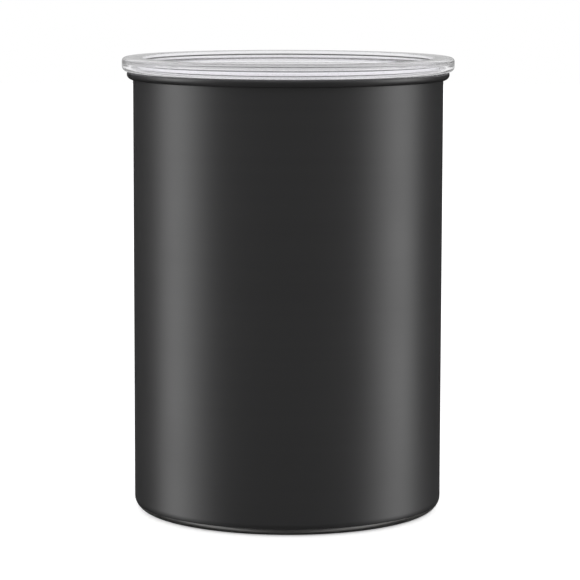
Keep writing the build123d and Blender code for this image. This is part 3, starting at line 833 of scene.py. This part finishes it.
def clear_plastic(finishes):
    """Clear polished plastic of the outer lid, with the faint waves and tint of a moulding."""
    material, tree, surface, place = blank_material("clear_plastic")
    smudge = noise(tree, place, scale=35.0, detail=5.0)
    flow = noise(tree, place, scale=18.0, detail=1.0)
    look = {
        "Base Color": mixed(tree, smudge, times(finishes.lid_tint, 0.985), finishes.lid_tint),
        "Roughness": 0.0,
        "Transmission Weight": 1.0,
        "IOR": finishes.lid_refraction,
        "Normal": bumped(tree, flow, distance=0.2 * MM, strength=0.15),
    }
    fill(tree, surface, look)
    return material


def clear_silicone(finishes):
    """Translucent silicone with a dull skin."""
    material, tree, surface, place = blank_material("clear_silicone")
    skin = effect(tree, "Moulded Texture", {"Vector": place, "Grain Scale": 2600.0, "Patch Scale": 90.0})
    look = {
        "Base Color": mixed(tree, skin["Patches"], times(finishes.silicone, 0.95), finishes.silicone),
        "Roughness": ranged(tree, skin["Patches"], 0.28, 0.4, PATCH_SPAN),
        "Transmission Weight": 0.75,
        "IOR": finishes.silicone_refraction,
        "Normal": bumped(tree, skin["Height"], distance=0.02 * MM, strength=0.4),
    }
    fill(tree, surface, look)
    return material


def moulded_material(name, tone, roughness, grain, depth, wear_share):
    """Moulded plastic or rubber: spark texture, patches of shine, worn edges and a little dust.

    Grain is the number of sparks to a metre, and depth is how deep they are.
    """
    material, tree, surface, place = blank_material(name)
    skin = effect(tree, "Moulded Texture", {"Vector": place, "Grain Scale": grain, "Patch Scale": 70.0})
    wear = effect(tree, "Edge Wear", {"Vector": place, "Edge Radius": 0.3 * MM, "Patch Scale": 700.0})
    dust = effect(tree, "Settled Dust", {"Vector": place, "Speck Scale": 900.0, "Amount": 0.12})
    varied = mixed(tree, skin["Patches"], times(tone, 0.9), times(tone, 1.1))
    worn = [part + (1.0 - part) * wear_share * RUBBED_PALER for part in tone]
    edged = mixed(tree, maths(tree, "MULTIPLY", wear["Mask"], wear_share), varied, worn)
    look = {
        "Base Color": mixed(tree, dust["Mask"], edged, DUST_COLOUR),
        "Roughness": ranged(tree, skin["Patches"], roughness - 0.05, roughness + 0.05, PATCH_SPAN),
        "Normal": bumped(tree, skin["Height"], depth, strength=0.6),
    }
    fill(tree, surface, look)
    return material


def steel_material(name, tone, roughness, line_scale, stretch):
    """Bright steel with fine lines, patchy shine and edges rubbed lighter.

    Line scale is the number of lines to a metre, and stretch is how much longer than wide they are.
    """
    material, tree, surface, place = blank_material(name)
    lines = effect(tree, "Brushed Lines", {"Vector": place, "Line Scale": line_scale, "Stretch": stretch})
    wear = effect(tree, "Edge Wear", {"Vector": place, "Edge Radius": 0.2 * MM, "Patch Scale": 900.0})
    dull = mixed(tree, lines["Lines"], times(tone, 0.88), tone)
    look = {
        "Base Color": mixed(tree, wear["Mask"], dull, times(tone, 1.2)),
        "Roughness": ranged(tree, lines["Bands"], roughness - 0.06, roughness + 0.08),
        "Metallic": 1.0,
        "Normal": bumped(tree, lines["Lines"], distance=0.006 * MM, strength=0.5),
    }
    fill(tree, surface, look)
    return material


def polished_wire(tone, roughness):
    """Drawn and polished wire: fine lines along it, from the distance along the wire."""
    material, tree, surface, place = blank_material("polished_wire")
    along = node(tree, "ShaderNodeAttribute", attribute_name="along_wire").outputs["Fac"]
    shifted = joined(tree, maths(tree, "MULTIPLY", along, 20.0))
    facing = node(tree, "ShaderNodeNewGeometry").outputs["Normal"]
    spread = vector_maths(tree, "SCALE", {0: facing, "Scale": 14.0})
    lines = noise(tree, vector_maths(tree, "ADD", {0: shifted, 1: spread}), scale=1.5, detail=4.0)
    smudge = noise(tree, place, scale=90.0, detail=3.0)
    look = {
        "Base Color": mixed(tree, lines, times(tone, 0.86), tone),
        "Roughness": ranged(tree, smudge, roughness - 0.05, roughness + 0.07),
        "Metallic": 1.0,
        "Normal": bumped(tree, lines, distance=0.01 * MM, strength=0.3),
    }
    fill(tree, surface, look)
    return material


def once(name, make, tone, **look):
    """A material by its name, made the first time that it is asked for."""
    return bpy.data.materials.get(name) or make(name, tone, **look)


def black_plastic(finishes):
    """Plastic of the inner lid's mouldings."""
    look = {"roughness": 0.5, "grain": 4200.0, "depth": 0.01 * MM, "wear_share": 0.25}
    return once("black_plastic", moulded_material, finishes.black_plastic, **look)


def black_silicone(finishes):
    """Soft rubber of the wiper and the valve's disc."""
    look = {"roughness": 0.62, "grain": 3000.0, "depth": 0.012 * MM, "wear_share": 0.1}
    return once("black_silicone", moulded_material, finishes.black_silicone, **look)


def white_acetal(finishes):
    """Slippery plastic of the valve's stem, the cams and the bushes."""
    look = {"roughness": 0.36, "grain": 5200.0, "depth": 0.004 * MM, "wear_share": 0.05}
    return once("white_acetal", moulded_material, finishes.acetal, **look)


def spring_steel(finishes):
    """Steel of the spring and the clips."""
    look = {"roughness": 0.24, "line_scale": 2600.0, "stretch": 6.0}
    return once("spring_steel", steel_material, finishes.spring_steel, **look)


class CANISTER_OT_shell(bpy.types.Operator):
    """Build the drawn steel can with its rolled rim and raised base"""

    bl_idname = "canister.shell"
    bl_label = "Canister Shell"
    bl_options = {"REGISTER", "UNDO"}

    def execute(self, context):
        settings = context.scene.canister
        s = settings.shell
        outer = s.rim_radius - s.rim_reach
        inner = outer - s.wall
        foot = outer - s.base_corner_radius - s.foot_ring_width
        panel = foot - s.base_slope
        rim_foot = s.mouth_height - s.rim_height
        curl_inside = s.rim_radius - s.wall
        corners = [
            (0.0, s.base_recess, 0.0),
            (panel, s.base_recess, s.wall),
            (foot, 0.0, s.wall),
            (outer, 0.0, s.base_corner_radius),
            (outer, s.mouth_height - s.wall, s.rim_roll_radius - s.wall),
            (curl_inside, s.mouth_height - s.wall, s.rim_roll_radius - s.wall),
            (curl_inside, rim_foot + s.wall, s.rim_foot_radius - s.wall),
            (outer + s.rim_slot, rim_foot + s.wall, 0.0),
            (outer + s.rim_slot, rim_foot, 0.0),
            (s.rim_radius, rim_foot, s.rim_foot_radius),
            (s.rim_radius, s.mouth_height, s.rim_roll_radius),
            (inner, s.mouth_height, s.rim_roll_radius),
            (inner, s.wall, s.base_corner_radius - s.wall),
            (foot, s.wall, s.wall),
            (panel, s.base_recess + s.wall, s.wall),
            (0.0, s.base_recess + s.wall, 0.0),
        ]
        material = coated_steel(settings.finishes, s)
        piece = turned_piece("steel_can", corners, s.segments, material, looped=False)
        settle(piece, "canister", "black_satin_steel", "canister_shell")
        return {"FINISHED"}


def plug_radius(settings):
    """The outside radius of the lid's plug, which fits the can's bore with a clearance."""
    can = settings.shell
    return can.rim_radius - can.rim_reach - can.wall - settings.lid.plug_clearance


class CANISTER_OT_outer_lid(bpy.types.Operator):
    """Build the clear press-on lid with its raised rim, recessed panel and plug"""

    bl_idname = "canister.outer_lid"
    bl_label = "Outer Lid"
    bl_options = {"REGISTER", "UNDO"}

    def execute(self, context):
        settings = context.scene.canister
        s = settings.lid
        seat = settings.shell.mouth_height + s.seat_gap
        panel_top = seat + s.seat_thickness
        panel_bottom = panel_top - s.panel_thickness
        land_inner = s.radius - s.land_width
        plug = plug_radius(settings)
        plug_inner = plug - s.plug_wall
        groove = plug - s.groove_depth
        groove_top = seal_high.z + s.groove_play
        groove_bottom = seal_low.z - s.groove_play
        corners = [
            (0.0, panel_top, 0.0),
            (land_inner, panel_top, s.recess_corner_radius),
            (land_inner, s.top, s.inner_edge_radius),
            (s.radius, s.top, s.outer_edge_radius),
            (s.radius, seat, s.lower_edge_radius),
            (s.radius - s.skirt_wall, seat, 0.0),
            (s.radius - s.skirt_wall, s.top - s.land_thickness, s.channel_radius),
            (plug, s.top - s.land_thickness, s.channel_radius),
            (plug, groove_top, 0.0),
            (groove, groove_top, 0.0),
            (groove, groove_bottom, 0.0),
            (plug, groove_bottom, 0.0),
            (plug, s.plug_bottom, s.plug_edge_radius),
            (plug_inner, s.plug_bottom, s.plug_edge_radius),
            (plug_inner, panel_bottom, s.plug_corner_radius),
            (0.0, panel_bottom, 0.0),
        ]
        material = clear_plastic(settings.finishes)
        piece = turned_piece("clear_lid", corners, s.segments, material, False, LID_ARC_STEPS)
        settle(piece, "lid", "clear_plastic", "outer_lid")
        return {"FINISHED"}


class CANISTER_OT_lid_seal(bpy.types.Operator):
    """Build the clear silicone ring in the lid's plug"""

    bl_idname = "canister.lid_seal"
    bl_label = "Lid Seal"
    bl_options = {"REGISTER", "UNDO"}

    def execute(self, context):
        settings = context.scene.canister
        s = settings.lid
        inner = plug_radius(settings) - s.groove_depth + s.seal_gap
        corners = [
            (inner, seal_low.z, 0.0),
            (seal_high.x, seal_low.z, s.seal_edge_radius),
            (seal_high.x, seal_high.z, s.seal_edge_radius),
            (inner, seal_high.z, 0.0),
        ]
        material = clear_silicone(settings.finishes)
        piece = turned_piece("lid_seal_ring", corners, s.segments, material)
        settle(piece, "lid", "clear_silicone", "outer_lid_seal")
        return {"FINISHED"}


class CANISTER_OT_plunger_plate(bpy.types.Operator):
    """Build the inner lid's moulded plate"""

    bl_idname = "canister.plunger_plate"
    bl_label = "Plunger Plate"
    bl_options = {"REGISTER", "UNDO"}

    def execute(self, context):
        settings = context.scene.canister
        material = black_plastic(settings.finishes)
        settle_copy("inner_lid_plate", "plunger_plate", "plunger", material, settings.inner.edge_width)
        return {"FINISHED"}


class CANISTER_OT_wiper_seal(bpy.types.Operator):
    """Build the two-lipped silicone ring round the plate"""

    bl_idname = "canister.wiper_seal"
    bl_label = "Wiper Seal"
    bl_options = {"REGISTER", "UNDO"}

    def execute(self, context):
        settings = context.scene.canister
        s = settings.inner
        middle = (wiper_low.z + wiper_high.z) / 2
        half = (wiper_high.z - wiper_low.z) / 2
        inner = frame_inner_radius("wiper_seal")
        lip = wiper_high.x
        upper = [
            (inner, half, 0.0),
            (s.wiper_root_radius, half, 0.0),
            (lip, half - s.wiper_lip_taper, 0.0),
            (lip, half - s.wiper_lip_taper - s.wiper_lip_edge, 0.0),
            (s.wiper_web_radius, half - s.wiper_lip_height, 0.0),
        ]
        lower = [(across, -up, radius) for across, up, radius in reversed(upper)]
        corners = [(across, middle + up, radius) for across, up, radius in upper + lower]
        piece = turned_piece("wiper_ring", corners, s.segments, black_silicone(settings.finishes))
        settle(piece, "plunger", "black_silicone", "wiper_seal")
        return {"FINISHED"}


class CANISTER_OT_valve_housing(bpy.types.Operator):
    """Build the round housing with its lugs, handle stops and screw bosses"""

    bl_idname = "canister.valve_housing"
    bl_label = "Valve Housing"
    bl_options = {"REGISTER", "UNDO"}

    def execute(self, context):
        settings = context.scene.canister
        material = black_plastic(settings.finishes)
        settle_copy("valve_housing_shell", "valve_housing", "plunger", material, settings.inner.edge_width)
        return {"FINISHED"}


class CANISTER_OT_hub_cap(bpy.types.Operator):
    """Build the vented cap over the housing"""

    bl_idname = "canister.hub_cap"
    bl_label = "Hub Cap"
    bl_options = {"REGISTER", "UNDO"}

    def execute(self, context):
        settings = context.scene.canister
        material = black_plastic(settings.finishes)
        settle_copy("vented_cap", "hub_cap", "plunger", material, settings.inner.edge_width)
        return {"FINISHED"}


class CANISTER_OT_hub_screws(bpy.types.Operator):
    """Build the cap's countersunk screws"""

    bl_idname = "canister.hub_screws"
    bl_label = "Hub Screws"
    bl_options = {"REGISTER", "UNDO"}

    def execute(self, context):
        settings = context.scene.canister
        s = settings.inner
        look = {"roughness": 0.3, "line_scale": 3800.0, "stretch": 4.0}
        material = once("screw_steel", steel_material, settings.finishes.screw_steel, **look)
        screw = frame_copy("one_screw", "hub_screw_1", material, s.edge_width)
        low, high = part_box("hub_screw_1")
        middle = (low + high) / 2
        screw.data.transform(Matrix.Translation((-middle.x, -middle.y, 0.0)))
        mesh = screw.data
        bpy.data.objects.remove(screw)
        values = {
            "Count": s.screw_count,
            "Circle Radius": s.screw_circle,
            "Start Angle": math.pi / s.screw_count,
            "Seed": s.screw_seed,
            "Material": material,
        }
        piece = grown("cap_screws", mesh, "Set Round the Hub", values)
        nodes = [f"hub_screw_{number + 1}" for number in range(s.screw_count)]
        settle(piece, "plunger", "screw_steel", *nodes)
        return {"FINISHED"}


class CANISTER_OT_valve(bpy.types.Operator):
    """Build the valve's stem and its silicone disc"""

    bl_idname = "canister.valve"
    bl_label = "Valve Stem and Disc"
    bl_options = {"REGISTER", "UNDO"}

    def execute(self, context):
        settings = context.scene.canister
        s = settings.inner
        flange = stem_high.x
        flange_top = spring_low.z
        flange_bottom = flange_top - s.stem_flange_thickness
        shoulder_top = disc_high.z + s.stem_shoulder_height
        stem = [
            (0.0, stem_low.z, 0.0),
            (s.stem_button_radius, stem_low.z, s.stem_edge_radius),
            (s.stem_button_radius, disc_low.z, 0.0),
            (s.stem_button_neck, disc_low.z, 0.0),
            (s.stem_button_neck, disc_high.z, 0.0),
            (s.stem_shoulder_radius, disc_high.z, 0.0),
            (s.stem_shoulder_radius, shoulder_top, s.stem_edge_radius),
            (s.stem_neck_radius, shoulder_top, s.stem_edge_radius),
            (s.stem_neck_radius, flange_bottom, s.stem_edge_radius),
            (flange, flange_bottom, s.stem_edge_radius),
            (flange, flange_top, s.stem_edge_radius),
            (s.stem_pin_radius, flange_top, s.stem_edge_radius),
            (s.stem_pin_radius, stem_high.z, s.stem_edge_radius),
            (0.0, stem_high.z, 0.0),
        ]
        piece = turned_piece("stem", stem, s.segments, white_acetal(settings.finishes), looped=False)
        settle(piece, "valve", "white_acetal", "valve_stem")
        disc = [
            (s.stem_button_neck, disc_low.z, 0.0),
            (disc_high.x, disc_low.z, s.disc_edge_radius),
            (disc_high.x, disc_high.z, s.disc_edge_radius),
            (s.stem_button_neck, disc_high.z, 0.0),
        ]
        piece = turned_piece("sealing_disc", disc, s.segments, black_silicone(settings.finishes))
        settle(piece, "valve", "black_silicone", "valve_disc")
        return {"FINISHED"}


class CANISTER_OT_valve_spring(bpy.types.Operator):
    """Build the valve's coil spring"""

    bl_idname = "canister.valve_spring"
    bl_label = "Valve Spring"
    bl_options = {"REGISTER", "UNDO"}

    def execute(self, context):
        settings = context.scene.canister
        s = settings.inner
        height = spring_high.z - spring_low.z
        values = {
            "Turns": s.spring_turns,
            "Coil Radius": spring_high.x - s.spring_wire / 2,
            "Base Height": spring_low.z + s.spring_wire / 2,
            "Rise": height - s.spring_wire,
            "Wire Radius": s.spring_wire / 2,
            "Steps": SPRING_STEPS,
            "Sides": SPRING_SIDES,
            "Material": spring_steel(settings.finishes),
        }
        piece = grown("coil_spring", bpy.data.meshes.new("coil_seed"), "Coil Spring", values)
        settle(piece, "plunger", "spring_steel", "valve_spring")
        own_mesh(piece)
        return {"FINISHED"}


class CANISTER_OT_handle(bpy.types.Operator):
    """Build the fold-down wire handle with its cams and clips"""

    bl_idname = "canister.handle"
    bl_label = "Handle, Cams and Clips"
    bl_options = {"REGISTER", "UNDO"}

    def execute(self, context):
        settings = context.scene.canister
        s = settings.handle
        wire = s.wire_diameter / 2
        pivot = (bail_low.z + bail_high.z) / 2
        leg = bail_high.x - wire
        arch = bail_low.y + wire
        corners = [
            (s.wire_end, 0.0, 0.0),
            (leg, 0.0, s.bend_radius),
            (leg, arch, s.corner_radius),
            (-leg, arch, s.corner_radius),
            (-leg, 0.0, s.bend_radius),
            (-s.wire_end, 0.0, 0.0),
        ]
        points = rounded_chain(corners, HANDLE_ARC_STEPS)
        path = chain_mesh("handle_path", [(point.x, point.y, pivot) for point in points])
        finishes = settings.finishes
        material = polished_wire(finishes.wire_steel, roughness=0.2)
        values = {"Wire Radius": wire, "Sides": s.sides, "Material": material}
        piece = grown("wire_handle", path, "Bent Wire", values)
        settle(piece, "handle", "handle_steel", "handle_bail")
        edge = settings.inner.edge_width
        for side in ("right", "left"):
            settle_copy(f"{side}_lifting_cam", f"{side}_cam", "handle", white_acetal(finishes), edge)
            settle_copy(f"{side}_push_on_clip", f"{side}_cam_clip", "handle", spring_steel(finishes), edge / 2)
        return {"FINISHED"}


class CANISTER_OT_pivot_bushes(bpy.types.Operator):
    """Build the flanged bushes in the housing's lugs"""

    bl_idname = "canister.pivot_bushes"
    bl_label = "Pivot Bushes"
    bl_options = {"REGISTER", "UNDO"}

    def execute(self, context):
        settings = context.scene.canister
        material = white_acetal(settings.finishes)
        for side in ("right", "left"):
            source = f"{side}_pivot_bush"
            settle_copy(f"{side}_bush", source, "plunger", material, settings.inner.edge_width)
        return {"FINISHED"}


class CANISTER_OT_filter(bpy.types.Operator):
    """Build the perforated screen under the valve and the ring that holds it"""

    bl_idname = "canister.filter"
    bl_label = "Filter Screen and Ring"
    bl_options = {"REGISTER", "UNDO"}

    def execute(self, context):
        settings = context.scene.canister
        s = settings.inner
        look = {"roughness": 0.3, "line_scale": 3000.0, "stretch": 1.5}
        material = once("screen_steel", steel_material, settings.finishes.screen_steel, **look)
        rows = 2 * math.ceil(s.screen_hole_reach / s.screen_hole_pitch) + 3
        values = {
            "Disc Radius": screen_high.x,
            "Hole Radius": s.screen_hole_radius,
            "Pitch": s.screen_hole_pitch,
            "Reach": s.screen_hole_reach,
            "Rows": rows,
            "Thickness": screen_high.z - screen_low.z,
            "Base Height": screen_low.z,
            "Merge Distance": MERGE_DISTANCE,
            "Material": material,
        }
        piece = grown("punched_screen", bpy.data.meshes.new("screen_seed"), "Punched Disc", values)
        settle(piece, "plunger", "screen_steel", "filter_screen")
        settle_copy("screen_ring", "filter_ring", "plunger", black_plastic(settings.finishes), s.edge_width)
        return {"FINISHED"}


def eased(tree, value, start, end, first, last):
    """A smooth change between two levels as a value goes from start to end."""
    inputs = {"Value": value, "From Min": start, "From Max": end, "To Min": first, "To Max": last}
    return node(tree, "ShaderNodeMapRange", inputs, interpolation_type="SMOOTHSTEP").outputs[0]


def band(tree, value, start, full, fading, end):
    """A mask that is 1 while a value lies between full and fading."""
    coming = eased(tree, value, start, full, 0.0, 1.0)
    going = eased(tree, value, fading, end, 1.0, 0.0)
    return maths(tree, "MULTIPLY", coming, going)


def surroundings(tree, stage):
    """White to the camera, an even light to matt surfaces, and a photographer's room to metal and glass.

    Metal sees a soft box on each side of a dark room. Clear plastic passes on the room's pale walls with a band
    of light high up, and behind the canister a dark screen over a dark ground.
    """
    path = node(tree, "ShaderNodeLightPath").outputs
    way = parted(tree, node(tree, "ShaderNodeTexCoord").outputs["Generated"])
    rise = way["Z"]
    side = maths(tree, "ABSOLUTE", way["X"])
    turn = maths(tree, "ARCTAN2", side, maths(tree, "MULTIPLY", way["Y"], -1.0))

    opening = eased(tree, turn, stage.box_start, stage.box_middle, stage.front_level, stage.box_level)
    closing = eased(tree, turn, stage.box_middle, stage.box_end, 1.0, stage.back_level / stage.box_level)
    lowered = eased(tree, rise, *BOX_FOOT, stage.low_level, 1.0)
    boxes = maths(tree, "MULTIPLY", maths(tree, "MULTIPLY", opening, closing), lowered)
    metal = blended(tree, eased(tree, rise, *CEILING_EDGE, 0.0, 1.0), boxes, stage.ceiling_level)

    behind = eased(tree, turn, *BEHIND, 0.0, 1.0)
    screen = maths(tree, "MULTIPLY", behind, band(tree, rise, *SCREEN_BAND))
    ground = maths(tree, "MULTIPLY", behind, eased(tree, rise, *GROUND_EDGE, 1.0, 0.0))
    horizon = maths(tree, "MULTIPLY", behind, eased(tree, rise, *HORIZON_EDGE, 1.0, 0.0))
    passed = blended(tree, band(tree, rise, *STRIP_BAND), stage.wall_level, stage.strip_level)
    passed = blended(tree, screen, passed, stage.screen_level)
    passed = blended(tree, ground, passed, stage.ground_level)
    shine = blended(tree, horizon, stage.shine_level, stage.horizon_level)

    polished = maths(tree, "MULTIPLY", path["Is Glossy Ray"], path["Is Singular Ray"])
    level = blended(tree, path["Is Glossy Ray"], stage.sky_level, metal)
    level = blended(tree, polished, level, shine)
    level = blended(tree, path["Is Transmission Ray"], level, passed)
    return blended(tree, path["Is Camera Ray"], level, 1.0)


def floor_material(stage):
    """A pale matt floor, lifted to white where it is seen, that keeps the canister's shadow."""
    material, tree, surface, place = blank_material("pale_floor")
    grain = noise(tree, place, scale=8.0, detail=3.0)
    seen = node(tree, "ShaderNodeLightPath").outputs["Is Camera Ray"]
    look = {
        "Base Color": mixed(tree, grain, times(stage.floor_colour, 0.99), stage.floor_colour),
        "Roughness": 0.9,
        "Specular IOR Level": 0.0,
        "Emission Color": WHITE,
        "Emission Strength": maths(tree, "MULTIPLY", seen, stage.floor_lift),
    }
    fill(tree, surface, look)
    return material


class CANISTER_OT_stage(bpy.types.Operator):
    """Build the floor, the surroundings and the camera"""

    bl_idname = "canister.stage"
    bl_label = "Stage"
    bl_options = {"REGISTER", "UNDO"}

    def execute(self, context):
        s = context.scene.canister.stage
        scene = context.scene
        mesh = bpy.data.meshes.new("floor")
        disc = bmesh.new()
        bmesh.ops.create_circle(disc, cap_ends=True, segments=DISC_SIDES, radius=s.floor_radius)
        bmesh.ops.translate(disc, verts=disc.verts, vec=(0.0, 0.0, -s.floor_gap))
        disc.to_mesh(mesh)
        disc.free()
        mesh.materials.append(floor_material(s))
        floor = placed("floor", mesh)
        floor.visible_glossy = False

        world = bpy.data.worlds.new("pale_surroundings")
        world.use_nodes = True
        tree = world.node_tree
        fill(tree, tree.nodes["Background"], {"Color": WHITE, "Strength": surroundings(tree, s)})
        world.cycles.sampling_method = "NONE"
        scene.world = world
        scene.cycles.max_bounces = BOUNCES
        scene.cycles.glossy_bounces = BOUNCES
        scene.cycles.transmission_bounces = BOUNCES

        data = bpy.data.cameras.new("camera")
        data.lens = s.lens
        data.sensor_width = SENSOR_WIDTH
        camera = placed("camera", data)
        tilt = Matrix.Rotation(math.pi / 2 - s.camera_pitch, 4, "X")
        roll = Matrix.Rotation(s.camera_roll, 4, "Z")
        place = Matrix.Translation((s.camera_side, -s.camera_distance, s.camera_height))
        camera.matrix_world = place @ tilt @ roll
        scene.camera = camera
        scene.view_settings.view_transform = "Standard"
        return {"FINISHED"}


class CANISTER_PT_panel(bpy.types.Panel):
    """Lists the pieces and their settings"""

    bl_idname = "CANISTER_PT_panel"
    bl_label = "Coffee Canister"
    bl_space_type = "VIEW_3D"
    bl_region_type = "UI"
    bl_category = "Canister"

    def draw(self, context):
        settings = context.scene.canister
        for operator in OPERATORS:
            self.layout.operator(operator.bl_idname)
        for title in ("shell", "lid", "inner", "handle", "finishes", "stage"):
            box = self.layout.box()
            box.label(text=title.capitalize())
            group = getattr(settings, title)
            for name in group.__annotations__:
                box.prop(group, name)


GROUP_CLASSES = (
    CanisterShellSizes,
    OuterLidSizes,
    InnerLidSizes,
    HandleSizes,
    CanisterFinishes,
    StageSettings,
    CanisterSettings,
)
OPERATORS = (
    CANISTER_OT_shell,
    CANISTER_OT_outer_lid,
    CANISTER_OT_lid_seal,
    CANISTER_OT_plunger_plate,
    CANISTER_OT_wiper_seal,
    CANISTER_OT_valve_housing,
    CANISTER_OT_hub_cap,
    CANISTER_OT_hub_screws,
    CANISTER_OT_valve,
    CANISTER_OT_valve_spring,
    CANISTER_OT_handle,
    CANISTER_OT_pivot_bushes,
    CANISTER_OT_filter,
    CANISTER_OT_stage,
)


def register():
    """Makes the classes and the settings known."""
    for made in (*GROUP_CLASSES, *OPERATORS, CANISTER_PT_panel):
        bpy.utils.register_class(made)
    bpy.types.Scene.canister = bpy.props.PointerProperty(type=CanisterSettings)


def unregister():
    """Takes the classes and the settings away."""
    del bpy.types.Scene.canister
    for made in reversed((*GROUP_CLASSES, *OPERATORS, CANISTER_PT_panel)):
        bpy.utils.unregister_class(made)


def main():
    """Builds the whole canister and its stage."""
    register()
    for operator in OPERATORS:
        family, name = operator.bl_idname.split(".")
        getattr(getattr(bpy.ops, family), name)()


if __name__ == "__main__":
    main()
